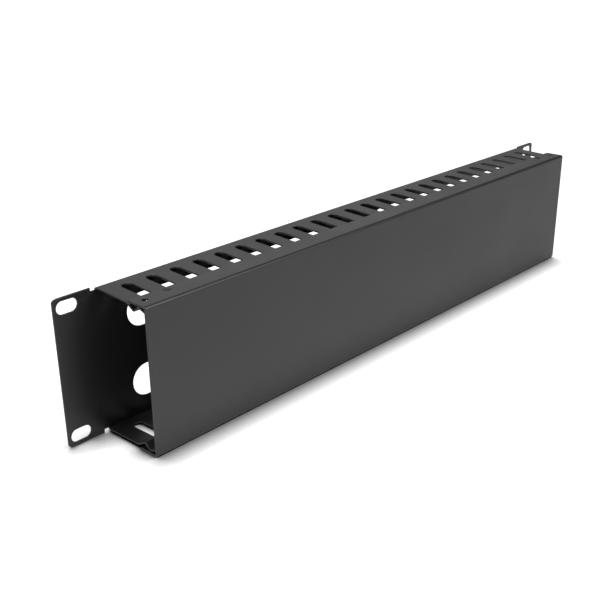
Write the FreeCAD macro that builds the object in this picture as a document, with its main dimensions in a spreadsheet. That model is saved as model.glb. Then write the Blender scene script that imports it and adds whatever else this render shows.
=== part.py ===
"""Horizontal cable manager for a 19-inch rack, two rack units high.

One folded sheet makes the slotted channel with its two rack ears. A second folded
sheet makes the front cover, which clips over the crimped fingers of the channel.

Millimetres. X runs along the rack, the rear face of the rack panel lies at Y = 0 and
the front points to -Y. Z is up, and the origin is the centre of the four ear slots.
"""
import FreeCAD, Part
import math
import os

import Sketcher

doc = FreeCAD.newDocument("horizontal_cable_manager")
Vector = FreeCAD.Vector

# Driving dimensions, in millimetres. Depths run from the rear face to the front, and
# drops run from the panel's top edge towards the middle plane.

SIZES = {
    # rack panel
    "rack_width": 482.6,
    "panel_height": 88.1,
    "channel_sheet": 1.0,
    "ear_reach": 26.8,
    "ear_corner": 4.0,
    "ear_slot_inset": 8.75,
    "ear_slot_drop": 5.95,
    "ear_slot_length": 13.0,
    "ear_slot_height": 7.6,
    # channel flanges, each with a V groove and a ridge crimped near its front edge
    "root_drop": 0.5,
    "finger_depth": 42.8,
    "shoulder_back": 14.5,
    "shoulder_drop": 1.45,
    "groove_back": 9.3,
    "groove_drop": 4.75,
    "ridge_back": 5.1,
    "lip_drop": 3.35,
    "flange_bend": 0.5,
    "crimp_bend": 0.8,
    "relief_gap": 3.0,
    "relief_margin": 0.1,
    # cable slots between the fingers
    "slot_count": 25,
    "slot_inset": 13.8,
    "slot_width": 6.7,
    "slot_start": 7.7,
    # long openings through the rear wall
    "opening_height": 20.0,
    "opening_wall_between": 24.0,
    "opening_end_wall": 19.25,
    "opening_middle_wall": 41.5,
    # front cover
    "cover_overhang": 0.5,
    "cover_sheet": 1.2,
    "cover_reach": 14.5,
    "cover_bend": 0.6,
    "cover_gap_height": 0.1,
    "cover_gap_front": 0.4,
    "cover_hole": 3.5,
    "cover_hole_inset": 6.5,
    "cover_hole_back": 8.4,
    "dimple_width": 7.0,
    "dimple_sink": 0.7,
    "dimple_forward": 1.0,
}

# Sizes that follow from them. A rise is a height above the middle plane.

DERIVED = {
    "panel_half": "rack_width / 2",
    "panel_rise": "panel_height / 2",
    "channel_length": "rack_width - 2 * ear_reach",
    "ear_slot_across": "panel_half - ear_slot_inset",
    "ear_slot_rise": "panel_rise - ear_slot_drop",
    "root_rise": "panel_rise - root_drop",
    "bend_rise": "root_rise - flange_bend - channel_sheet - relief_margin",
    "relief_across": "channel_length / 2 + relief_gap",
    "relief_rise": "panel_rise + relief_gap",
    "shoulder_depth": "finger_depth - shoulder_back",
    "shoulder_rise": "panel_rise - shoulder_drop",
    "groove_depth": "finger_depth - groove_back",
    "groove_rise": "panel_rise - groove_drop",
    "ridge_depth": "finger_depth - ridge_back",
    "ridge_rise": "panel_rise - cover_sheet - cover_gap_height",
    "lip_rise": "panel_rise - lip_drop",
    "slot_row": "channel_length - 2 * slot_inset",
    "slot_pitch": "slot_row / (slot_count - 1)",
    "slot_round": "slot_width / 2",
    "slot_round_depth": "slot_start + slot_round",
    "slot_reach": "finger_depth + slot_round",
    "opening_length": "channel_length / 2 - opening_end_wall - opening_middle_wall / 2",
    "opening_across": "(opening_length + opening_middle_wall) / 2",
    "opening_rise": "(opening_height + opening_wall_between) / 2",
    "cover_length": "channel_length + 2 * cover_overhang",
    "cover_front": "finger_depth + cover_gap_front + cover_sheet",
    "cover_rear": "cover_front - cover_reach",
    "cover_hole_across": "cover_length / 2 - cover_hole_inset",
    "cover_hole_depth": "cover_front - cover_hole_back",
    "dimple_across": "(slot_row - slot_pitch) / 2",
    "dimple_depth": "groove_depth + dimple_forward",
    "dimple_ball": "((dimple_width / 2) ^ 2 + dimple_sink ^ 2) / (2 * dimple_sink)",
    "dimple_centre": "panel_rise + dimple_ball - dimple_sink",
}

sheet = doc.addObject("Spreadsheet::Sheet", "Sizes")
cells = {alias: str(size) for alias, size in SIZES.items()}
cells.update({alias: "=" + formula for alias, formula in DERIVED.items()})
for row, (alias, content) in enumerate(cells.items(), start=1):
    sheet.set("A%d" % row, alias)
    sheet.set("B%d" % row, content)
    sheet.setAlias("B%d" % row, alias)
doc.recompute()


def value(name):
    """Read one size. A minus sign before its name puts it on the negative side."""
    size = float(sheet.get(name.lstrip("-")))
    return -size if name.startswith("-") else size


# Building blocks

def origin_plane(body, role):
    """Return the body's own origin plane or axis with this role."""
    return next(item for item in body.Origin.OriginFeatures if item.Role == role)


def new_sketch(body, name, role):
    """Add an empty sketch that lies on one of the body's origin planes."""
    sketch = body.newObject("Sketcher::SketchObject", name)
    sketch.AttachmentSupport = [(origin_plane(body, role), "")]
    sketch.MapMode = "FlatFace"
    return sketch


def constrain(sketch, kind, *geometry, size=None, bind=None):
    """Add one constraint, with its size bound to an expression of sheet values."""
    arguments = geometry if size is None else geometry + (size,)
    index = sketch.addConstraint(Sketcher.Constraint(kind, *arguments))
    if bind is not None:
        sketch.setExpression("Constraints[%d]" % index, bind)


def place_point(sketch, line, end, names):
    """Fix a point by the two sizes named for its X and Y, or None on an axis."""
    for kind, axis, name in (("DistanceX", -2, names[0]), ("DistanceY", -1, names[1])):
        if name is None:
            constrain(sketch, "PointOnObject", line, end, axis)
            continue
        ends = (line, end, -1, 1) if name.startswith("-") else (-1, 1, line, end)
        constrain(sketch, kind, *ends, size=abs(value(name)), bind="Sizes." + name.lstrip("-"))


def add_line(sketch, start, end):
    """Draw one line between two (x, y) points and return its index."""
    return sketch.addGeometry(Part.LineSegment(Vector(*start, 0), Vector(*end, 0)), False)


def add_arc(sketch, centre, radius, first_degrees):
    """Draw a half circle, counterclockwise from an angle, and return its index."""
    circle = Part.Circle(Vector(*centre, 0), Vector(0, 0, 1), radius)
    first = math.radians(first_degrees)
    return sketch.addGeometry(Part.ArcOfCircle(circle, first, first + math.pi), False)


def add_polygon(sketch, points):
    """Draw a closed outline of lines and join their ends. Returns the line indices."""
    lines = [add_line(sketch, start, end) for start, end in zip(points, points[1:] + points[:1])]
    for line, following in zip(lines, lines[1:] + lines[:1]):
        constrain(sketch, "Coincident", line, 2, following, 1)
    return lines


def add_rectangle(sketch, low, high):
    """Draw a rectangle between two corners, each given by the names of its sizes."""
    left, bottom = (value(name) for name in low)
    right, top = (value(name) for name in high)
    lines = add_polygon(sketch, [(left, bottom), (right, bottom), (right, top), (left, top)])
    for line, direction in zip(lines, ("Horizontal", "Vertical") * 2):
        constrain(sketch, direction, line)
    place_point(sketch, lines[0], 1, low)
    place_point(sketch, lines[1], 2, high)


def add_obround(sketch, across, rise, length, height):
    """Draw a level obround from the names of its centre's sizes, length and height."""
    radius = value(height) / 2
    reach = value(length) / 2 - radius
    x, y = value(across), value(rise)
    right = add_arc(sketch, (x + reach, y), radius, -90)
    top = add_line(sketch, (x + reach, y + radius), (x - reach, y + radius))
    left = add_arc(sketch, (x - reach, y), radius, 90)
    bottom = add_line(sketch, (x - reach, y - radius), (x + reach, y - radius))
    for line, following in ((right, top), (top, left), (left, bottom), (bottom, right)):
        constrain(sketch, "Tangent", line, 2, following, 1)
    constrain(sketch, "Horizontal", top)
    constrain(sketch, "Radius", right, size=radius, bind="Sizes.%s / 2" % height)
    between = "Sizes.%s - Sizes.%s" % (length, height)
    constrain(sketch, "DistanceX", left, 3, right, 3, size=2 * reach, bind=between)
    constrain(sketch, "DistanceX", -1, 1, right, 3, size=x + reach,
              bind="Sizes.%s + (%s) / 2" % (across, between))
    constrain(sketch, "DistanceY", -1, 1, right, 3, size=y, bind="Sizes." + rise)


def add_pad(body, name, sketch, length, both_ways=False):
    """Pad a sketch by a named length."""
    pad = body.newObject("PartDesign::Pad", name)
    pad.Profile = sketch
    pad.setExpression("Length", "Sizes." + length)
    if both_ways:
        pad.SideType = "Symmetric"
    return pad


def add_through_pocket(body, name, sketch):
    """Cut a sketch right through the body, on both sides of its plane."""
    pocket = body.newObject("PartDesign::Pocket", name)
    pocket.Profile = sketch
    pocket.Type = "ThroughAll"
    pocket.SideType = "Symmetric"
    return pocket


def add_mirrored(body, name, feature, role):
    """Mirror one feature across an origin plane of the body."""
    mirrored = body.newObject("PartDesign::Mirrored", name)
    mirrored.Originals = [feature]
    mirrored.MirrorPlane = (origin_plane(body, role), [""])
    body.Tip = mirrored
    return mirrored


def add_four(body, name, feature):
    """Mirror one feature left to right and top to bottom, which makes four of it."""
    steps = []
    for role in ("YZ_Plane", "XY_Plane"):
        step = doc.addObject("PartDesign::Mirrored", name + role.replace("_Plane", ""))
        step.MirrorPlane = (origin_plane(body, role), [""])
        steps.append(step)
    four = body.newObject("PartDesign::MultiTransform", name)
    four.Originals = [feature]
    for step in steps:
        body.addObject(step)
    four.Transformations = steps
    body.Tip = four


def edges_along(feature, axis, wanted):
    """Name the straight edges along an axis whose middle the test accepts."""
    names = []
    for number, edge in enumerate(feature.Shape.Edges, start=1):
        ends = [vertex.Point for vertex in edge.Vertexes]
        if len(ends) != 2 or not isinstance(edge.Curve, Part.Line):
            continue
        along = (ends[1] - ends[0]).normalize()
        if abs(along.dot(axis)) > 0.999 and wanted((ends[0] + ends[1]) * 0.5):
            names.append("Edge%d" % number)
    return names


def add_fillet(body, name, base, axis, wanted, radius_bind):
    """Round the edges that the test picks, by a radius from the sheet."""
    fillet = body.newObject("PartDesign::Fillet", name)
    fillet.Base = (base, edges_along(base, axis, wanted))
    fillet.setExpression("Radius", radius_bind)
    doc.recompute()
    return fillet


def near_any(places):
    """Make a test for a middle point that lies at one of these (Y, |Z|) places."""
    def test(middle):
        return any(math.hypot(middle.y - y, abs(middle.z) - z) < 0.05 for y, z in places)
    return test


def offset_corners(path, thickness):
    """Move an open outline sideways by the sheet's thickness, with sharp corners."""
    normals = []
    for (x0, y0), (x1, y1) in zip(path, path[1:]):
        length = math.hypot(x1 - x0, y1 - y0)
        normals.append((-(y1 - y0) / length, (x1 - x0) / length))
    corner_normals = [normals[0]]
    for before, after in zip(normals, normals[1:]):
        scale = 1 + before[0] * after[0] + before[1] * after[1]
        corner_normals.append(((before[0] + after[0]) / scale, (before[1] + after[1]) / scale))
    corner_normals.append(normals[-1])
    return [(x + thickness * across, y + thickness * up)
            for (x, y), (across, up) in zip(path, corner_normals)]


def folded_section(body, name, corners, gauge):
    """Sketch a folded sheet's section on the YZ plane from its outer corners.

    Each corner gives the names of its two sizes. The inner outline follows the outer
    one at the sheet's thickness. Returns the sketch, the outer and the inner corners.
    """
    sketch = new_sketch(body, name, "YZ_Plane")
    outer = [tuple(0 if name is None else value(name) for name in names) for names in corners]
    inner = offset_corners(outer, value(gauge))
    lines = add_polygon(sketch, outer + inner[::-1])
    folds = len(outer) - 1
    for index, names in enumerate(corners):
        line, end = (lines[index], 1) if index < folds else (lines[folds - 1], 2)
        place_point(sketch, line, end, names)
    for index in range(folds):
        inner_line = lines[2 * folds - index]
        constrain(sketch, "Parallel", lines[index], inner_line)
        constrain(sketch, "Distance", inner_line, 1, lines[index], size=value(gauge),
                  bind="Sizes." + gauge)
    constrain(sketch, "Perpendicular", lines[folds], lines[folds - 1])
    constrain(sketch, "Perpendicular", lines[-1], lines[0])
    return sketch, outer, inner


# Slotted channel with rack ears

def add_slot_row(body):
    """Cut the cable slots through both flanges, open at the finger tips."""
    slot = new_sketch(body, "SlotOutline", "XY_Plane")
    radius = value("slot_round")
    first = -value("slot_row") / 2
    back = -value("slot_round_depth")
    front = -value("slot_reach")
    arc = add_arc(slot, (first, back), radius, 0)
    corners = [(first - radius, back), (first - radius, front), (first + radius, front),
               (first + radius, back)]
    left, end, right = (add_line(slot, *pair) for pair in zip(corners, corners[1:]))
    constrain(slot, "Tangent", arc, 2, left, 1)
    constrain(slot, "Coincident", left, 2, end, 1)
    constrain(slot, "Coincident", end, 2, right, 1)
    constrain(slot, "Tangent", right, 2, arc, 1)
    constrain(slot, "Vertical", left)
    constrain(slot, "Horizontal", end)
    constrain(slot, "Radius", arc, size=radius, bind="Sizes.slot_round")
    constrain(slot, "DistanceX", arc, 3, -1, 1, size=-first, bind="Sizes.slot_row / 2")
    constrain(slot, "DistanceY", arc, 3, -1, 1, size=-back, bind="Sizes.slot_round_depth")
    constrain(slot, "DistanceY", end, 1, -1, 1, size=-front, bind="Sizes.slot_reach")
    cut = add_through_pocket(body, "Slot", slot)
    row = body.newObject("PartDesign::LinearPattern", "SlotRow")
    row.Originals = [cut]
    row.Direction = (origin_plane(body, "X_Axis"), [""])
    row.setExpression("Length", "Sizes.slot_row")
    row.setExpression("Occurrences", "Sizes.slot_count")
    body.Tip = row


def make_channel():
    """Fold the slotted channel and its rack ears from one sheet."""
    body = doc.addObject("PartDesign::Body", "Channel")
    body.Label = "slotted_channel"

    # the flat rack panel, ears and rear wall in one
    panel = new_sketch(body, "PanelOutline", "XZ_Plane")
    add_rectangle(panel, ("-panel_half", "-panel_rise"), ("panel_half", "panel_rise"))
    add_pad(body, "Panel", panel, "channel_sheet")

    # between the ears the sheet ends at the bend lines, with a relief beside each ear
    relief = new_sketch(body, "ReliefOutline", "XZ_Plane")
    add_rectangle(relief, ("-relief_across", "bend_rise"), ("relief_across", "relief_rise"))
    add_rectangle(relief, ("-relief_across", "-relief_rise"), ("relief_across", "-bend_rise"))
    add_through_pocket(body, "Relief", relief)

    # upper flange with its crimped front, then the lower one as its mirror image
    corners = [(None, "bend_rise"), (None, "root_rise"), ("-shoulder_depth", "shoulder_rise"),
               ("-groove_depth", "groove_rise"), ("-ridge_depth", "ridge_rise"),
               ("-finger_depth", "lip_rise")]
    section, outer, inner = folded_section(body, "FlangeSection", corners, "channel_sheet")
    flange = add_pad(body, "Flange", section, "channel_length", both_ways=True)
    both = add_mirrored(body, "BothFlanges", flange, "XY_Plane")
    doc.recompute()

    # bends: the inner radius on the hollow side, plus the sheet on the other
    along = Vector(1, 0, 0)
    last = both
    for name, places, radius in (
            ("RearBendInside", [inner[1]], "Sizes.flange_bend"),
            ("RearBendOutside", [outer[1]], "Sizes.flange_bend + Sizes.channel_sheet"),
            ("CrimpInside", [inner[2], outer[3], inner[4]], "Sizes.crimp_bend"),
            ("CrimpOutside", [outer[2], inner[3], outer[4]],
             "Sizes.crimp_bend + Sizes.channel_sheet")):
        last = add_fillet(body, name, last, along, near_any(places), radius)
    edge = value("panel_half") - 0.05
    add_fillet(body, "EarCorners", last, Vector(0, 1, 0), lambda middle: abs(middle.x) > edge,
               "Sizes.ear_corner")
    add_slot_row(body)

    # four long openings through the rear wall, and the four rack slots in the ears
    for name, names in (
            ("RearOpening", ("opening_across", "opening_rise", "opening_length", "opening_height")),
            ("EarSlot", ("ear_slot_across", "ear_slot_rise", "ear_slot_length", "ear_slot_height"))):
        outline = new_sketch(body, name + "Outline", "XZ_Plane")
        add_obround(outline, *names)
        add_four(body, name + "Set", add_through_pocket(body, name, outline))
    doc.recompute()
    return body


# Front cover

def add_dimples(body):
    """Press four shallow dimples, each part of a ball, over the second fingers."""
    section = new_sketch(body, "DimpleSection", "YZ_Plane")
    section.AttachmentOffset = FreeCAD.Placement(
        Vector(0, 0, value("dimple_across")), FreeCAD.Rotation())
    section.setExpression("AttachmentOffset.Base.z", "Sizes.dimple_across")
    middle = -value("dimple_depth")
    ball = value("dimple_ball")
    centre = value("dimple_centre")
    arc = add_arc(section, (middle, centre), ball, -90)
    axis = add_line(section, (middle, centre + ball), (middle, centre - ball))
    constrain(section, "Coincident", arc, 2, axis, 1)
    constrain(section, "Coincident", axis, 2, arc, 1)
    constrain(section, "Vertical", axis)
    constrain(section, "PointOnObject", arc, 3, axis)
    constrain(section, "Radius", arc, size=ball, bind="Sizes.dimple_ball")
    place_point(section, arc, 3, ("-dimple_depth", "dimple_centre"))
    dimple = body.newObject("PartDesign::Groove", "Dimple")
    dimple.Profile = section
    dimple.ReferenceAxis = (section, ["Edge2"])
    dimple.Angle = 360
    add_four(body, "DimpleSet", dimple)


def make_cover():
    """Fold the front cover, with its end holes and its latching dimples."""
    body = doc.addObject("PartDesign::Body", "Cover")
    body.Label = "front_cover"
    corners = [("-cover_rear", "panel_rise"), ("-cover_front", "panel_rise"),
               ("-cover_front", "-panel_rise"), ("-cover_rear", "-panel_rise")]
    section, outer, inner = folded_section(body, "CoverSection", corners, "cover_sheet")
    shell = add_pad(body, "Shell", section, "cover_length", both_ways=True)
    doc.recompute()
    along = Vector(1, 0, 0)
    inside = add_fillet(body, "CoverBendInside", shell, along, near_any([inner[1]]),
                        "Sizes.cover_bend")
    add_fillet(body, "CoverBendOutside", inside, along, near_any([outer[1]]),
               "Sizes.cover_bend + Sizes.cover_sheet")

    # one round hole near each end, through both flanges of the cover
    outline = new_sketch(body, "HoleOutline", "XY_Plane")
    radius = value("cover_hole") / 2
    centre = Vector(value("cover_hole_across"), -value("cover_hole_depth"), 0)
    circle = outline.addGeometry(Part.Circle(centre, Vector(0, 0, 1), radius), False)
    constrain(outline, "Radius", circle, size=radius, bind="Sizes.cover_hole / 2")
    place_point(outline, circle, 3, ("cover_hole_across", "-cover_hole_depth"))
    hole = add_through_pocket(body, "EndHole", outline)
    add_mirrored(body, "EndHoles", hole, "YZ_Plane")
    add_dimples(body)
    doc.recompute()
    return body


channel = make_channel()
cover = make_cover()
doc.recompute()

# Checks, then one file for each piece

for item in doc.Objects:
    if "Invalid" in item.State or "Error" in item.State:
        raise RuntimeError("%s did not compute: %s" % (item.Name, item.State))
for piece in (channel, cover):
    if piece.Shape.isNull() or not piece.Shape.isValid() or len(piece.Shape.Solids) != 1:
        raise RuntimeError("%s is not one valid solid" % piece.Label)

os.makedirs("parts", exist_ok=True)
for piece in (channel, cover):
    piece.Shape.exportStep("parts/%s.step" % piece.Label)
    box = piece.Shape.BoundBox
    print("%s: %.1f x %.1f x %.1f mm, volume %.0f mm3" % (
        piece.Label, box.XLength, box.YLength, box.ZLength, piece.Shape.Volume))
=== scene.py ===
"""Dress the horizontal cable manager: two folded, powder-coated sheets on a pale studio floor.

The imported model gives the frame. The slotted channel and its front cover are folded again
here from thin sheet, with true bends, pressed dimples and softly rounded coated edges, and
each one stands for the node of the same name. Lengths are in metres.
"""

import logging
import math
from collections.abc import Callable, Sequence
from dataclasses import dataclass
from enum import Enum
from typing import ClassVar

import bmesh
import bpy
from mathutils import Euler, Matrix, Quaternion, Vector


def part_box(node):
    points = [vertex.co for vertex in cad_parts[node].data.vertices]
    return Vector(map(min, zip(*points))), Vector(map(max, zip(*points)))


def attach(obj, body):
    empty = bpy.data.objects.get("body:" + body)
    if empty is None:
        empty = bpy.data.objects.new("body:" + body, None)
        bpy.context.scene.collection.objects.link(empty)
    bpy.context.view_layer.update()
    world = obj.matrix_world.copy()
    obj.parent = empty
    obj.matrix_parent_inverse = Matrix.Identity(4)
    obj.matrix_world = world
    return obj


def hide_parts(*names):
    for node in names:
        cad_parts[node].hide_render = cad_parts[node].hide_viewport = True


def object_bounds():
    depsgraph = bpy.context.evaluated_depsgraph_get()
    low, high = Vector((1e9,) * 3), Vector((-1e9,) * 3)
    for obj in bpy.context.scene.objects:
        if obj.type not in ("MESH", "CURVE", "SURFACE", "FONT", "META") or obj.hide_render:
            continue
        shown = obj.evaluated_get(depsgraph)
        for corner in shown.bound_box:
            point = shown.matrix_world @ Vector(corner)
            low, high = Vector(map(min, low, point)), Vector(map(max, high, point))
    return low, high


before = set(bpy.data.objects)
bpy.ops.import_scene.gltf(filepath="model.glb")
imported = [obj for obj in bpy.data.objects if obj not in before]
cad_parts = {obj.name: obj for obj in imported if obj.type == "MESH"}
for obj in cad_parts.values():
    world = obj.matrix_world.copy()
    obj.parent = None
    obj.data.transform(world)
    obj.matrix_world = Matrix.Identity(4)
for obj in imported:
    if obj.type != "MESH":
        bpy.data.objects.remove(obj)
CAD_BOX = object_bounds()

MM = 0.001
CLOSE = 0.02 * MM

logging.basicConfig(level=logging.INFO, format="%(message)s")
LOG = logging.getLogger("cable_manager")


class Facing(Enum):
    """The way that a cutter's prism runs through the sheet."""

    UP = "along the height"
    REAR = "along the depth"


class Level(Enum):
    """The upper or the lower half of the part, as a sign on its height."""

    UPPER = 1
    LOWER = -1


def deselect_all() -> None:
    """Deselect every object."""
    bpy.ops.object.select_all(action="DESELECT")


def make_active(piece: bpy.types.Object) -> None:
    """Select one object alone and make it the active one."""
    deselect_all()
    piece.select_set(True)
    bpy.context.view_layer.objects.active = piece


def apply_modifier(piece: bpy.types.Object, kind: str, **settings: object) -> None:
    """Add one modifier to a piece, set it up and apply it.

    Args:
        piece: The mesh object to work on.
        kind: The modifier's type, such as BEVEL.
        settings: The modifier's own settings.
    """
    make_active(piece)
    modifier = piece.modifiers.new(kind.title(), kind)
    for name, setting in settings.items():
        setattr(modifier, name, setting)
    bpy.ops.object.modifier_apply(modifier=modifier.name)


def select_edges(piece: bpy.types.Object, wanted: Callable[[Vector, Vector], bool]) -> int:
    """Select the edges of a mesh in edit mode by their place.

    Args:
        piece: The object that is in edit mode.
        wanted: A test that gets an edge's middle and its direction.

    Returns:
        The number of edges that are selected.
    """
    bpy.ops.mesh.select_mode(type="EDGE")
    bpy.ops.mesh.select_all(action="DESELECT")
    mesh = bmesh.from_edit_mesh(piece.data)
    count = 0
    for edge in mesh.edges:
        start, end = (vertex.co for vertex in edge.verts)
        if wanted((start + end) / 2, (end - start).normalized()):
            edge.select_set(True)
            count += 1
    bmesh.update_edit_mesh(piece.data)
    return count


def select_vertices(piece: bpy.types.Object, wanted: Callable[[Vector], bool]) -> None:
    """Select the vertices of a mesh in edit mode by their place."""
    bpy.ops.mesh.select_mode(type="VERT")
    bpy.ops.mesh.select_all(action="DESELECT")
    mesh = bmesh.from_edit_mesh(piece.data)
    for vertex in mesh.verts:
        vertex.select_set(wanted(vertex.co))
    bmesh.update_edit_mesh(piece.data)


def extrude(across: float = 0, depth: float = 0, rise: float = 0) -> None:
    """Extrude what is selected by a step along X, Y and Z."""
    bpy.ops.mesh.extrude_region_move(TRANSFORM_OT_translate={"value": (across, depth, rise)})


@dataclass
class Cutter:
    """A round-ended prism that stamps a hole or a slot through a sheet.

    Attributes:
        name: What the tool is called while it exists.
        centre: Its middle.
        width: Its size along X.
        span: Its other size in the sheet's plane.
        corner: The radius of its four corners.
        facing: The way that it runs through the sheet.
        reach: How long the prism is.
        arc_steps: The edges round each corner.
    """

    name: str
    centre: Vector
    width: float
    span: float
    corner: float
    facing: Facing
    reach: float = 0.12
    arc_steps: int = 12

    def build(self) -> bpy.types.Object:
        """Make the prism as a closed mesh.

        Returns:
            The tool, with its place in its mesh.
        """
        deselect_all()
        bpy.ops.mesh.primitive_plane_add(size=2, location=(0, 0, 0))
        tool = bpy.context.object
        tool.name = self.name
        bpy.ops.object.mode_set(mode="EDIT")
        bpy.ops.transform.resize(value=(self.width / 2, self.span / 2, 1), center_override=(0, 0, 0))
        bpy.ops.mesh.bevel(offset=self.corner * 0.9999, segments=self.arc_steps, affect="VERTICES",
                           clamp_overlap=False)
        bpy.ops.mesh.select_all(action="SELECT")
        bpy.ops.mesh.remove_doubles(threshold=0.002 * MM)
        bpy.ops.transform.translate(value=(0, 0, -self.reach / 2))
        extrude(rise=self.reach)
        bpy.ops.mesh.select_all(action="SELECT")
        bpy.ops.mesh.normals_make_consistent(inside=False)
        bpy.ops.object.mode_set(mode="OBJECT")
        if self.facing is Facing.REAR:
            tool.rotation_euler = (math.pi / 2, 0, 0)
        tool.location = self.centre
        bpy.ops.object.transform_apply(location=True, rotation=True, scale=True)
        return tool


def stamp(piece: bpy.types.Object, tool: bpy.types.Object) -> None:
    """Cut a tool out of a piece and throw the tool away."""
    apply_modifier(piece, "BOOLEAN", operation="DIFFERENCE", solver="EXACT", object=tool)
    bpy.data.objects.remove(tool)


@dataclass(frozen=True)
class PowderCoat:
    """A fine-textured matt powder coat on steel.

    Attributes:
        name: The material's name.
        shade: The coat's grey, as linear reflectance.
        roughness: Its mean roughness.
        grain: The size of its fine texture.
        swell: The size of the slow waves that it dries in.
        relief: The height of the fine texture.
        cloud: The size of the slow changes in its roughness.
        tone_spread: How far its grey varies with the grain, as a share.
        polish_spread: How far its roughness varies.
        noise_span: The part of the noise's range that the roughness follows.
    """

    name: str
    shade: float = 0.010
    roughness: float = 0.40
    grain: float = 0.45 * MM
    swell: float = 3.2 * MM
    relief: float = 0.012 * MM
    cloud: float = 40 * MM
    tone_spread: float = 0.20
    polish_spread: float = 0.03
    noise_span: tuple[float, float] = (0.3, 0.7)

    def material(self) -> bpy.types.Material:
        """Build the node material.

        Returns:
            The finished material, on object coordinates.
        """
        made = bpy.data.materials.new(self.name)
        made.use_nodes = True
        tree = made.node_tree
        nodes, links = tree.nodes, tree.links
        shader = nodes["Principled BSDF"]
        shader.inputs["IOR"].default_value = 1.5
        shader.inputs["Specular IOR Level"].default_value = 0.5
        place = nodes.new("ShaderNodeTexCoord").outputs["Object"]

        grain = self._noise(tree, place, 1 / self.grain, detail=2.0)
        swell = self._noise(tree, place, 1 / self.swell, detail=1.0)
        cloud = self._noise(tree, place, 1 / self.cloud, detail=2.0)

        tint = nodes.new("ShaderNodeMapRange")
        tint.inputs["To Min"].default_value = self.shade * (1 - self.tone_spread)
        tint.inputs["To Max"].default_value = self.shade * (1 + self.tone_spread)
        links.new(grain, tint.inputs["Value"])
        tone = nodes.new("ShaderNodeCombineColor")
        for channel in ("Red", "Green", "Blue"):
            links.new(tint.outputs["Result"], tone.inputs[channel])
        links.new(tone.outputs["Color"], shader.inputs["Base Color"])

        polish = nodes.new("ShaderNodeMapRange")
        polish.inputs["From Min"].default_value, polish.inputs["From Max"].default_value = self.noise_span
        polish.inputs["To Min"].default_value = self.roughness - self.polish_spread
        polish.inputs["To Max"].default_value = self.roughness + self.polish_spread
        links.new(cloud, polish.inputs["Value"])
        links.new(polish.outputs["Result"], shader.inputs["Roughness"])

        waves = self._bump(tree, swell, height=self.relief * 0.6)
        texture = self._bump(tree, grain, height=self.relief, under=waves)
        links.new(texture, shader.inputs["Normal"])
        return made

    @staticmethod
    def _noise(tree: bpy.types.NodeTree, place: bpy.types.NodeSocket, scale: float,
               detail: float) -> bpy.types.NodeSocket:
        """Add one noise texture and return its value."""
        noise = tree.nodes.new("ShaderNodeTexNoise")
        noise.inputs["Scale"].default_value = scale
        noise.inputs["Detail"].default_value = detail
        tree.links.new(place, noise.inputs["Vector"])
        return noise.outputs["Fac"]

    @staticmethod
    def _bump(tree: bpy.types.NodeTree, height_map: bpy.types.NodeSocket, height: float,
              under: bpy.types.NodeSocket | None = None) -> bpy.types.NodeSocket:
        """Add one bump layer, over another if one is given, and return its normal."""
        bump = tree.nodes.new("ShaderNodeBump")
        bump.inputs["Strength"].default_value = 1.0
        bump.inputs["Distance"].default_value = height
        tree.links.new(height_map, bump.inputs["Height"])
        if under is not None:
            tree.links.new(under, bump.inputs["Normal"])
        return bump.outputs["Normal"]


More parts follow.
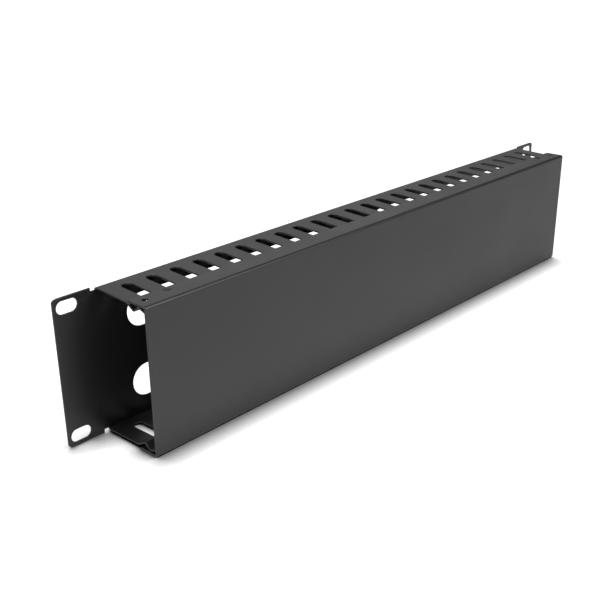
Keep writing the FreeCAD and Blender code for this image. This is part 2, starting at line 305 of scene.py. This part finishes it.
@dataclass(frozen=True)
class StudioFloor:
    """A pale seamless floor that the camera sees as white, that keeps the lamps' shadows of the part and
    has a painted contact shade where the part stands on it.

    Attributes:
        name: The material's name.
        shade: Its reflectance for light that falls on the part.
        seen_shade: Its reflectance as the camera sees it, clear of the part; near the part it darkens in
            the painted contact shade.
        backing: The white that only the camera sees there, as of a lit backing paper; it fades out in the
            painted contact shade.
        painted_shade_reach: How far the painted contact shade around the part spreads, as an ambient
            occlusion reach.
        painted_shade_dark: How open to the sky a point is where that painted shade is full.
        painted_shade_lean: The way that the sky of the painted shade leans, standing in for a leaning
            light over the part.
    """

    name: str = "studio_floor"
    shade: float = 0.88
    seen_shade: float = 0.35
    backing: float = 0.88
    painted_shade_reach: float = 20 * MM
    painted_shade_dark: float = 0.38
    painted_shade_lean: tuple[float, float, float] = (0.62, 0.28, 0.73)

    def material(self) -> bpy.types.Material:
        """Build the node material.

        Returns:
            A plain diffuse floor, white to the camera except in the painted contact shade where the part
            stands on it.
        """
        made = bpy.data.materials.new(self.name)
        made.use_nodes = True
        nodes, links = made.node_tree.nodes, made.node_tree.links
        nodes.remove(nodes["Principled BSDF"])
        # Painted contact shade: ambient occlusion, tilted to stand in for a leaning light over the part,
        # darkens what the camera sees of the floor near the part.
        painted_shade_openness = nodes.new("ShaderNodeAmbientOcclusion")
        painted_shade_openness.samples = 16
        painted_shade_openness.inputs["Distance"].default_value = self.painted_shade_reach
        towards = nodes.new("ShaderNodeCombineXYZ")
        for axis, amount in zip("XYZ", self.painted_shade_lean):
            towards.inputs[axis].default_value = amount
        links.new(towards.outputs["Vector"], painted_shade_openness.inputs["Normal"])
        ray = nodes.new("ShaderNodeLightPath")
        # The floor colour that the camera sees darkens in the painted contact shade.
        seen = nodes.new("ShaderNodeMapRange")
        seen.inputs["To Min"].default_value = self.shade
        links.new(self._painted_contact_fade(made.node_tree, painted_shade_openness, self.seen_shade), seen.inputs["To Max"])
        links.new(ray.outputs["Is Camera Ray"], seen.inputs["Value"])
        diffuse = nodes.new("ShaderNodeBsdfDiffuse")
        links.new(seen.outputs["Result"], diffuse.inputs["Color"])
        # The white that only the camera sees also fades out in the painted contact shade.
        shown = nodes.new("ShaderNodeMath")
        shown.operation = "MULTIPLY"
        links.new(self._painted_contact_fade(made.node_tree, painted_shade_openness, self.backing), shown.inputs[0])
        links.new(ray.outputs["Is Camera Ray"], shown.inputs[1])
        white = nodes.new("ShaderNodeEmission")
        links.new(shown.outputs["Value"], white.inputs["Strength"])
        both = nodes.new("ShaderNodeAddShader")
        links.new(diffuse.outputs["BSDF"], both.inputs[0])
        links.new(white.outputs["Emission"], both.inputs[1])
        links.new(both.outputs["Shader"], nodes["Material Output"].inputs["Surface"])
        return made

    def _painted_contact_fade(self, tree: bpy.types.NodeTree, painted_shade_openness: bpy.types.Node,
                       full: float) -> bpy.types.NodeSocket:
        """Fade a value in with the distance from the part, which paints the contact shade.

        Args:
            tree: The floor's node tree.
            painted_shade_openness: The node that says how open to the sky a point is, which sets the
                painted shade.
            full: The value clear of the part.

        Returns:
            The value, from 0 where the painted shade is full.
        """
        # Painted shade: 0 where the floor is least open to the sky, up to full where it is clear of the
        # part.
        fade = tree.nodes.new("ShaderNodeMapRange")
        fade.inputs["From Min"].default_value = self.painted_shade_dark
        fade.inputs["To Max"].default_value = full
        tree.links.new(painted_shade_openness.outputs["AO"], fade.inputs["Value"])
        return fade.outputs["Result"]


@dataclass
class FoldedSheet:
    """What both folded pieces share: folding, rounding and dressing a sheet.

    Attributes:
        name: The piece's name.
        node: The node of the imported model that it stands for.
        body: The body that it rides on.
        slot: The material slot that it takes its finish from.
        gauge: The sheet's thickness.
        edge_round: The radius of the coat over the sheet's edges.
        sharp_deg: The angle from which an edge counts as cut and not as bent.
    """

    name: str
    node: str
    body: str
    slot: str
    gauge: float
    edge_round: float
    sharp_deg: ClassVar[float] = 50

    def start(self, half_width: float, half_height: float) -> bpy.types.Object:
        """Lay down the flat middle of the sheet, upright and facing the rear."""
        deselect_all()
        bpy.ops.mesh.primitive_plane_add(size=2, location=(0, 0, 0), rotation=(-math.pi / 2, 0, 0))
        piece = bpy.context.object
        piece.name = self.name
        bpy.ops.object.transform_apply(location=True, rotation=True, scale=True)
        bpy.ops.object.mode_set(mode="EDIT")
        bpy.ops.transform.resize(value=(half_width, 1, half_height), center_override=(0, 0, 0))
        return piece

    @staticmethod
    def fold_along(path: Sequence[tuple[float, float]]) -> None:
        """Extrude the selected edge from corner to corner of a section.

        Args:
            path: The section's corners as (depth, height), the first where the edge is.
        """
        for (y0, z0), (y1, z1) in zip(path, path[1:]):
            extrude(depth=y1 - y0, rise=z1 - z0)

    @staticmethod
    def bend(piece: bpy.types.Object, corner: tuple[float, float], turn: float, radius: float,
             steps: int) -> None:
        """Round one fold of the sheet, above and below, to its outer radius.

        Args:
            piece: The sheet, in edit mode.
            corner: The fold's (depth, height) as a sharp corner.
            turn: The angle that the sheet turns by there.
            radius: The radius on the sheet's drawn side.
            steps: The faces around the bend.
        """
        depth, rise = corner

        def at_corner(middle: Vector, along: Vector) -> bool:
            return (abs(along.x) > 0.99 and abs(middle.y - depth) < CLOSE
                    and abs(abs(middle.z) - rise) < CLOSE)

        select_edges(piece, at_corner)
        bpy.ops.mesh.bevel(offset_type="OFFSET", offset=radius * math.tan(turn / 2),
                           segments=steps, profile=0.5, affect="EDGES", clamp_overlap=False)

    def thicken(self, piece: bpy.types.Object) -> None:
        """Give the drawn side of the sheet its thickness, on the inside."""
        bpy.ops.object.mode_set(mode="OBJECT")
        apply_modifier(piece, "SOLIDIFY", thickness=self.gauge, offset=-1, use_even_offset=True)

    def finish_edges(self, piece: bpy.types.Object) -> None:
        """Round the cut edges as the coat does, and shade the flats flat."""
        make_active(piece)
        bpy.ops.object.mode_set(mode="EDIT")
        bpy.ops.mesh.select_all(action="SELECT")
        bpy.ops.mesh.remove_doubles(threshold=0.001 * MM)
        bpy.ops.mesh.select_all(action="DESELECT")
        bpy.ops.object.mode_set(mode="OBJECT")
        apply_modifier(piece, "BEVEL", width=self.edge_round, segments=3, limit_method="ANGLE",
                       angle_limit=math.radians(self.sharp_deg), use_clamp_overlap=False)
        make_active(piece)
        bpy.ops.object.shade_smooth()
        apply_modifier(piece, "WEIGHTED_NORMAL", mode="FACE_AREA", weight=100, keep_sharp=False)

    def hand_over(self, piece: bpy.types.Object, coat: bpy.types.Material) -> None:
        """Dress a finished piece and tie it to its body, node and slot."""
        piece.data.materials.clear()
        piece.data.materials.append(coat)
        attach(piece, self.body)
        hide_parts(self.node)
        LOG.info("%s: %d faces, for node %s", piece.name, len(piece.data.polygons), self.node)


def turns_of(path: Sequence[tuple[float, float]]) -> list[float]:
    """Work out the signed turn at each inner corner of a path of (depth, height) points."""
    angles = [math.atan2(z1 - z0, y1 - y0) for (y0, z0), (y1, z1) in zip(path, path[1:])]
    return [(after - before + math.pi) % (2 * math.pi) - math.pi
            for before, after in zip(angles, angles[1:])]


@dataclass
class SlottedChannel(FoldedSheet):
    """The channel with its rack ears, folded from one sheet.

    The rack panel stands upright, and a flange folds forward from its top and bottom edge.
    Each flange is slotted into fingers and crimped into a groove and a ridge near its front.
    """

    name: str = "channel_sheet"
    node: str = "slotted_channel"
    body: str = "channel"
    slot: str = "powder_coat_channel"
    gauge: float = 1.0 * MM
    edge_round: float = 0.22 * MM
    ear_reach: float = 26.8 * MM
    ear_corner: float = 4.0 * MM
    ear_slot_inset: float = 8.75 * MM
    ear_slot_drop: float = 5.95 * MM
    ear_slot_length: float = 13.0 * MM
    ear_slot_height: float = 7.6 * MM
    root_drop: float = 0.5 * MM
    shoulder_back: float = 14.5 * MM
    shoulder_drop: float = 1.45 * MM
    groove_back: float = 9.3 * MM
    groove_drop: float = 4.75 * MM
    ridge_back: float = 5.1 * MM
    ridge_drop: float = 1.3 * MM
    lip_drop: float = 3.35 * MM
    flange_bend: float = 0.5 * MM
    crimp_bend: float = 0.8 * MM
    relief_gap: float = 3.0 * MM
    relief_margin: float = 0.1 * MM
    slot_count: int = 25
    slot_inset: float = 13.8 * MM
    slot_width: float = 6.7 * MM
    slot_start: float = 7.7 * MM
    opening_height: float = 20.0 * MM
    opening_wall_between: float = 24.0 * MM
    opening_end_wall: float = 19.25 * MM
    opening_middle_wall: float = 41.5 * MM

    def __post_init__(self) -> None:
        """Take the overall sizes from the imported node."""
        low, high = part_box(self.node)
        self.panel_half = high.x
        self.panel_rise = high.z
        self.finger_depth = -low.y
        self.channel_half = self.panel_half - self.ear_reach

    def section(self) -> list[tuple[float, float]]:
        """List the flange's sharp corners as (depth, height), from the panel to the tip."""
        top, front = self.panel_rise, -self.finger_depth
        root = top - self.root_drop
        outer_bend = self.flange_bend + self.gauge
        return [(0, root - outer_bend - self.relief_margin), (0, root),
                (front + self.shoulder_back, top - self.shoulder_drop),
                (front + self.groove_back, top - self.groove_drop),
                (front + self.ridge_back, top - self.ridge_drop),
                (front, top - self.lip_drop)]

    def build(self) -> bpy.types.Object:
        """Fold, cut and finish the channel.

        Returns:
            The finished piece.
        """
        path = self.section()
        piece = self.start(self.channel_half, path[0][1])
        self._spread_ears(piece, path[0][1])
        self._fold_flanges(piece, path)
        self._round_ears(piece)
        self.thicken(piece)
        stamp(piece, self._slot_row())
        stamp(piece, self._rear_openings())
        stamp(piece, self._ear_slots())
        self.finish_edges(piece)
        return piece

    def _spread_ears(self, piece: bpy.types.Object, bend_rise: float) -> None:
        """Extend the flat wall past the reliefs into the two ears."""
        ear_width = self.ear_reach - self.relief_gap
        ear_middle = self.panel_half - ear_width / 2
        for side in (-1, 1):
            select_edges(piece, lambda middle, along: abs(middle.x - side * self.channel_half) < CLOSE)
            extrude(across=side * self.relief_gap)
            extrude(across=side * ear_width)
        for level in Level:
            select_edges(piece, lambda middle, along: abs(abs(middle.x) - ear_middle) < CLOSE
                         and abs(middle.z - level.value * bend_rise) < CLOSE)
            extrude(rise=level.value * (self.panel_rise - bend_rise))

    def _fold_flanges(self, piece: bpy.types.Object, path: list[tuple[float, float]]) -> None:
        """Fold both flanges forward and round every fold."""
        for level in Level:
            select_edges(piece, lambda middle, along: abs(middle.x) < CLOSE
                         and abs(middle.z - level.value * path[0][1]) < CLOSE)
            self.fold_along([(depth, level.value * rise) for depth, rise in path])
        turns = turns_of(path)
        bends = [self.flange_bend] + [self.crimp_bend] * 3
        for corner, turn, inner in zip(path[1:], turns, bends):
            radius = inner + self.gauge if turn > 0 else inner
            self.bend(piece, corner, abs(turn), radius, steps=8)

    def _round_ears(self, piece: bpy.types.Object) -> None:
        """Round the four outer corners of the ears."""
        select_vertices(piece, lambda place: abs(place.x) > self.panel_half - CLOSE
                        and abs(place.z) > self.panel_rise - CLOSE)
        bpy.ops.mesh.bevel(offset=self.ear_corner, segments=10, affect="VERTICES",
                           clamp_overlap=False)

    def _slot_row(self) -> bpy.types.Object:
        """Make the row of slot cutters, from the rear of a slot to past the finger tips."""
        row = 2 * (self.channel_half - self.slot_inset)
        back = -self.slot_start
        front = -self.finger_depth - self.slot_width
        tool = Cutter("slot_cutter", Vector((-row / 2, (back + front) / 2, 0)), self.slot_width,
                      back - front, self.slot_width / 2, Facing.UP).build()
        apply_modifier(tool, "ARRAY", count=self.slot_count, use_relative_offset=False,
                       use_constant_offset=True,
                       constant_offset_displace=(row / (self.slot_count - 1), 0, 0))
        return tool

    def _rear_openings(self) -> bpy.types.Object:
        """Make the cutters of the four long openings in the rear wall."""
        length = self.channel_half - self.opening_end_wall - self.opening_middle_wall / 2
        centre = Vector(((length + self.opening_middle_wall) / 2, 0,
                         (self.opening_height + self.opening_wall_between) / 2))
        tool = Cutter("opening_cutter", centre, length, self.opening_height,
                      self.opening_height / 2, Facing.REAR, reach=10 * MM).build()
        apply_modifier(tool, "MIRROR", use_axis=(True, False, True))
        return tool

    def _ear_slots(self) -> bpy.types.Object:
        """Make the cutters of the four rack slots in the ears."""
        centre = Vector((self.panel_half - self.ear_slot_inset, 0,
                         self.panel_rise - self.ear_slot_drop))
        tool = Cutter("ear_cutter", centre, self.ear_slot_length, self.ear_slot_height,
                      self.ear_slot_height / 2, Facing.REAR, reach=10 * MM).build()
        apply_modifier(tool, "MIRROR", use_axis=(True, False, True))
        return tool


@dataclass
class FrontCover(FoldedSheet):
    """The front cover, a C folded from thinner sheet, with end holes and dimples."""

    name: str = "cover_sheet"
    node: str = "front_cover"
    body: str = "cover"
    slot: str = "powder_coat_cover"
    gauge: float = 1.2 * MM
    edge_round: float = 0.2 * MM
    inner_bend: float = 0.6 * MM
    hole: float = 3.5 * MM
    hole_inset: float = 6.5 * MM
    hole_back: float = 8.4 * MM
    dimple_width: float = 7.0 * MM
    dimple_sink: float = 0.7 * MM
    dimple_inset: float = 22.66 * MM
    dimple_back: float = 9.9 * MM
    dimple_rim: float = 0.35 * MM
    dimple_lead: float = 0.03 * MM
    dimple_above: float = 1.0 * MM

    def __post_init__(self) -> None:
        """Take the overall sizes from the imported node."""
        low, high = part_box(self.node)
        self.half_length = high.x
        self.rise = high.z
        self.front = low.y
        self.rear = high.y

    def build(self) -> bpy.types.Object:
        """Fold, press and finish the cover.

        Returns:
            The finished piece.
        """
        piece = self.start(self.half_length, self.rise)
        bpy.ops.mesh.select_all(action="SELECT")
        bpy.ops.transform.translate(value=(0, self.front, 0))
        bpy.ops.mesh.flip_normals()
        for level in Level:
            select_edges(piece, lambda middle, along: abs(middle.z - level.value * self.rise) < CLOSE
                         and abs(along.x) > 0.99)
            extrude(depth=self.rear - self.front)
        self.bend(piece, (self.front, self.rise), math.pi / 2, self.inner_bend + self.gauge, steps=10)
        self.thicken(piece)
        stamp(piece, self._end_holes())
        stamp(piece, self._dimples())
        self.finish_edges(piece)
        return piece

    def _end_holes(self) -> bpy.types.Object:
        """Make the cutters of the round holes near both ends."""
        centre = Vector((self.half_length - self.hole_inset, self.front + self.hole_back, 0))
        tool = Cutter("hole_cutter", centre, self.hole, self.hole, self.hole / 2, Facing.UP).build()
        apply_modifier(tool, "MIRROR", use_axis=(True, False, False))
        return tool

    def _dimples(self) -> bpy.types.Object:
        """Spin the cutters that press the four latching dimples."""
        centre = Vector((self.half_length - self.dimple_inset, self.front + self.dimple_back, self.rise))
        deselect_all()
        bpy.ops.mesh.primitive_plane_add(size=2, location=(0, 0, 0))
        tool = bpy.context.object
        tool.name = "dimple_cutter"
        bpy.ops.object.mode_set(mode="EDIT")
        bpy.ops.mesh.delete(type="ONLY_FACE")
        bpy.ops.mesh.select_all(action="SELECT")
        bpy.ops.mesh.delete(type="VERT")
        profile = bmesh.from_edit_mesh(tool.data)
        points = [profile.verts.new(place) for place in self._dimple_profile()]
        for start, end in zip(points, points[1:]):
            profile.edges.new((start, end))
        bmesh.update_edit_mesh(tool.data)
        bpy.ops.mesh.select_all(action="SELECT")
        bpy.ops.mesh.spin(steps=40, angle=2 * math.pi, center=(0, 0, 0), axis=(0, 0, 1))
        bpy.ops.mesh.select_all(action="SELECT")
        bpy.ops.mesh.remove_doubles(threshold=0.001 * MM)
        bpy.ops.mesh.normals_make_consistent(inside=False)
        bpy.ops.object.mode_set(mode="OBJECT")
        tool.location = centre
        bpy.ops.object.transform_apply(location=True, rotation=True, scale=True)
        apply_modifier(tool, "MIRROR", use_axis=(True, False, True))
        return tool

    def _dimple_profile(self) -> list[tuple[float, float, float]]:
        """Work out the pressed dish's outline, from its deepest point up to a flat top."""
        radius = self.dimple_width / 2
        rim = radius + self.dimple_rim
        steps = 10
        outline = []
        for step in range(steps + 1):
            across = radius * step / steps
            sink = self.dimple_sink * (1 + math.cos(math.pi * step / steps)) / 2
            outline.append((across, 0.0, -sink))
        outline.append((rim, 0.0, self.dimple_lead))
        outline.append((rim, 0.0, self.dimple_above))
        outline.append((0.0, 0.0, self.dimple_above))
        return outline


@dataclass(frozen=True)
class Softbox:
    """One square softbox.

    Attributes:
        name: The lamp's name.
        place: Where it hangs.
        target: What it is turned to.
        size: The length of its side.
        power: Its power in watts.
    """

    name: str
    place: Vector
    target: Vector
    size: float
    power: float

    def hang(self) -> None:
        """Hang the lamp and turn it to its target."""
        deselect_all()
        bpy.ops.object.light_add(type="AREA", location=self.place)
        lamp = bpy.context.object
        lamp.name = self.name
        lamp.data.shape = "SQUARE"
        lamp.data.size = self.size
        lamp.data.energy = self.power
        lamp.rotation_mode = "QUATERNION"
        lamp.rotation_quaternion = (self.target - self.place).to_track_quat("-Z", "Y")


@dataclass
class Studio:
    """The floor, the soft lights and the camera.

    Attributes:
        eye: The camera's place.
        yaw_deg: Its heading, from +Y towards +X.
        pitch_deg: How far it looks down.
        roll_deg: Its roll about the line of sight.
        lens_mm: Its focal length on a 36 mm sensor.
        floor_reach: Half the floor's width.
        sky: The strength of the white surround.
        rear_wall: Its strength low down behind the part, as of a pale wall.
        wall_start: How far behind the part, as the Y of a heading, the wall begins and is full.
        wall_top: How high up, as the Z of a heading, the wall ends and is full.
        overhead_heading: Where the overhead light stands.
        overhead_strength: Its strength.
        overhead_spread_deg: The angle that it fills.
    """

    eye: Vector
    yaw_deg: float = 47.254
    pitch_deg: float = 22.751
    roll_deg: float = -0.441
    lens_mm: float = 54.01
    floor_reach: float = 12.0
    sky: float = 0.07
    rear_wall: float = 0.74
    wall_start: tuple[float, float] = (0.2, 0.6)
    wall_top: tuple[float, float] = (0.65, 0.45)
    overhead_heading: tuple[float, float, float] = (0.16, 0.12, 0.98)
    overhead_strength: float = 1.0
    overhead_spread_deg: float = 14

    def build(self) -> None:
        """Set up the floor, the surround, the lights and the camera."""
        scene = bpy.context.scene
        scene.view_settings.view_transform = "Standard"
        self._lay_floor()
        self._light_surround()
        softboxes = self._softboxes()
        for softbox in softboxes:
            softbox.hang()
        self._light_overhead()
        self._place_camera()
        LOG.info("studio: floor, surround, %d softboxes, overhead light and camera", len(softboxes))

    @staticmethod
    def _softboxes() -> list[Softbox]:
        """List the softboxes in front of, over and beside the part."""
        corner = Vector((CAD_BOX[0].x, CAD_BOX[0].y, CAD_BOX[1].z))
        left_end = Vector((CAD_BOX[0].x, 0, 0))
        near = Vector((-0.20, -0.02, 0))
        return [
            Softbox("front_softbox", corner + 3.2 * Vector((0.43, -0.72, 0.54)), corner, 1.4, 62.0),
            Softbox("near_softbox", near + Vector((0, 0, 0.48)), near, 0.2, 1.25),
            Softbox("side_softbox", left_end + 1.2 * Vector((-0.75, -0.10, 0.65)), left_end, 0.9, 8.0),
        ]

    def _lay_floor(self) -> None:
        """Lay the floor under the part's lowest edge."""
        deselect_all()
        bpy.ops.mesh.primitive_plane_add(size=2 * self.floor_reach, location=(0, 0, CAD_BOX[0].z))
        floor = bpy.context.object
        floor.name = "floor"
        bpy.ops.object.mode_set(mode="EDIT")
        bpy.ops.mesh.subdivide(number_cuts=3)
        bpy.ops.object.mode_set(mode="OBJECT")
        bpy.ops.object.transform_apply(location=True, rotation=True, scale=True)
        floor.data.materials.append(StudioFloor().material())

    def _light_surround(self) -> None:
        """Light the part faintly from all round, and more from low down behind it."""
        world = bpy.data.worlds.new("surround")
        bpy.context.scene.world = world
        world.use_nodes = True
        nodes, links = world.node_tree.nodes, world.node_tree.links
        heading = nodes.new("ShaderNodeTexCoord")
        split = nodes.new("ShaderNodeSeparateXYZ")
        links.new(heading.outputs["Generated"], split.inputs["Vector"])
        wall = nodes.new("ShaderNodeMath")
        wall.operation = "MULTIPLY"
        for place, (axis, span) in enumerate((("Y", self.wall_start), ("Z", self.wall_top))):
            fade = nodes.new("ShaderNodeMapRange")
            fade.inputs["From Min"].default_value, fade.inputs["From Max"].default_value = span
            links.new(split.outputs[axis], fade.inputs["Value"])
            links.new(fade.outputs["Result"], wall.inputs[place])
        sky = nodes.new("ShaderNodeMapRange")
        sky.inputs["To Min"].default_value = self.sky
        sky.inputs["To Max"].default_value = self.rear_wall
        links.new(wall.outputs["Value"], sky.inputs["Value"])
        ray = nodes.new("ShaderNodeLightPath")
        strength = nodes.new("ShaderNodeMapRange")
        strength.inputs["To Max"].default_value = 1.0
        links.new(sky.outputs["Result"], strength.inputs["To Min"])
        links.new(ray.outputs["Is Camera Ray"], strength.inputs["Value"])
        links.new(strength.outputs["Result"], nodes["Background"].inputs["Strength"])
        nodes["Background"].inputs["Color"].default_value = (1, 1, 1, 1)

    def _light_overhead(self) -> None:
        """Light the floor evenly from a wide soft source high over the part."""
        heading = Vector(self.overhead_heading)
        deselect_all()
        bpy.ops.object.light_add(type="SUN", location=heading)
        lamp = bpy.context.object
        lamp.name = "overhead_light"
        lamp.data.energy = self.overhead_strength
        lamp.data.angle = math.radians(self.overhead_spread_deg)
        lamp.rotation_mode = "QUATERNION"
        lamp.rotation_quaternion = (-heading).to_track_quat("-Z", "Y")

    def _place_camera(self) -> None:
        """Stand the camera where the part is seen from."""
        deselect_all()
        bpy.ops.object.camera_add(location=self.eye)
        camera = bpy.context.object
        camera.name = "camera"
        level = Euler((math.radians(90 - self.pitch_deg), 0, math.radians(-self.yaw_deg)))
        roll = Quaternion((0, 0, 1), math.radians(self.roll_deg))
        camera.rotation_mode = "QUATERNION"
        camera.rotation_quaternion = level.to_quaternion() @ roll
        camera.data.sensor_width = 36
        camera.data.lens = self.lens_mm
        camera.data.clip_start = 0.01
        camera.data.clip_end = 60
        bpy.context.scene.camera = camera


def main() -> None:
    """Build the studio and both folded pieces."""
    Studio(eye=Vector((-472.6 * MM, -392.86 * MM, 222.49 * MM))).build()
    for sheet in (SlottedChannel(), FrontCover()):
        coat = PowderCoat(sheet.slot).material()
        sheet.hand_over(sheet.build(), coat)
        node_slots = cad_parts[sheet.node].data.materials
        node_slots.clear()
        node_slots.append(coat)


if __name__ == "__main__":
    main()
